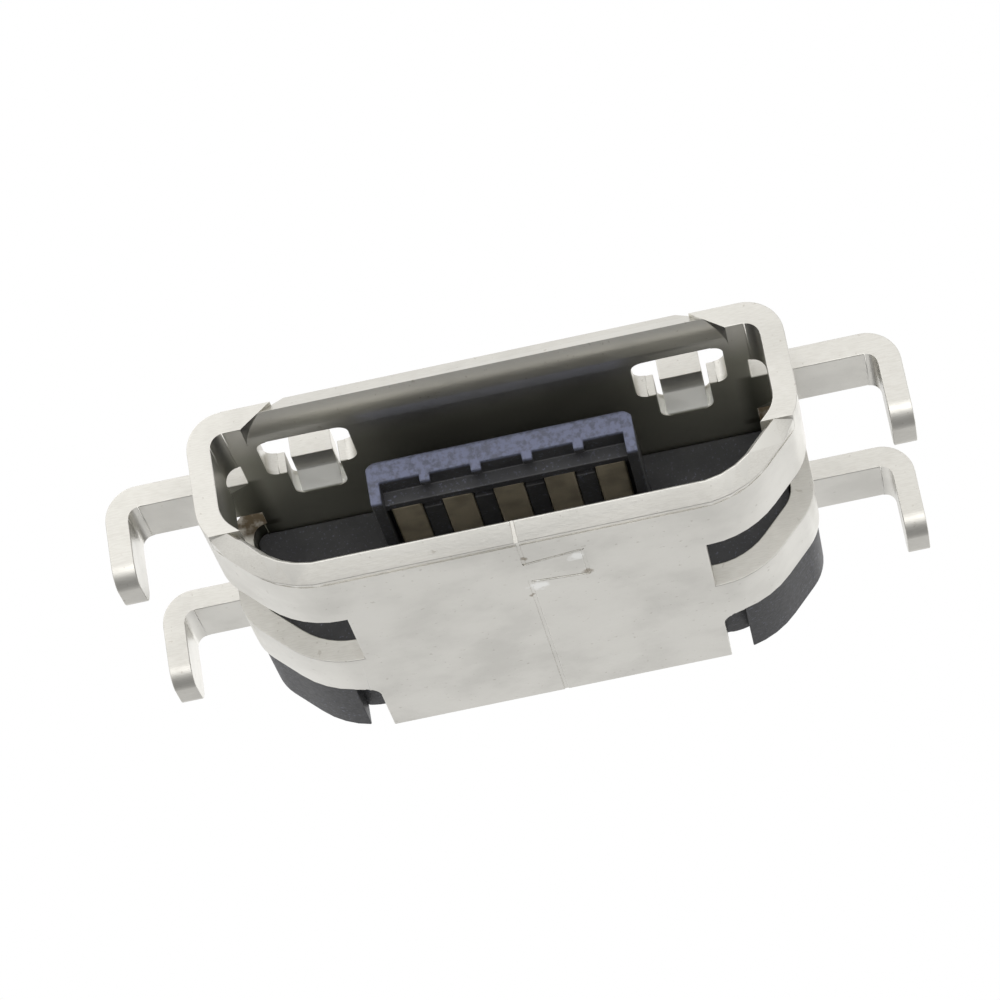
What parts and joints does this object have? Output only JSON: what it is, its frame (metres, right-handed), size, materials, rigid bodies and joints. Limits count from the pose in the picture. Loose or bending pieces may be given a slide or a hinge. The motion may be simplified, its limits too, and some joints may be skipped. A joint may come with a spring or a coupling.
{
  "type": "micro usb socket",
  "caption": "Small board-edge socket: folded metal shell with flared mouth, seamed floor, latch windows and bent legs, round a black tongue with flat contacts.",
  "frame": {"origin": "middle of the plug opening, in the plane of the front rim", "axes": "+X across the mouth, +Y from the mouth to the rear, +Z from the narrow side to the wide side, which carries the legs"},
  "size_m": [0.0102, 0.006, 0.0027],
  "materials": {
    "shell": "tin plated, satin",
    "housing": "moulded, matte",
    "contact": "thinly plated, dull"
  },
  "bodies": {
    "root": {"shell": "shell", "housing": "housing", "contact_1": "contact", "contact_2": "contact", "contact_3": "contact", "contact_4": "contact", "contact_5": "contact"}
  },
  "joints": []
}
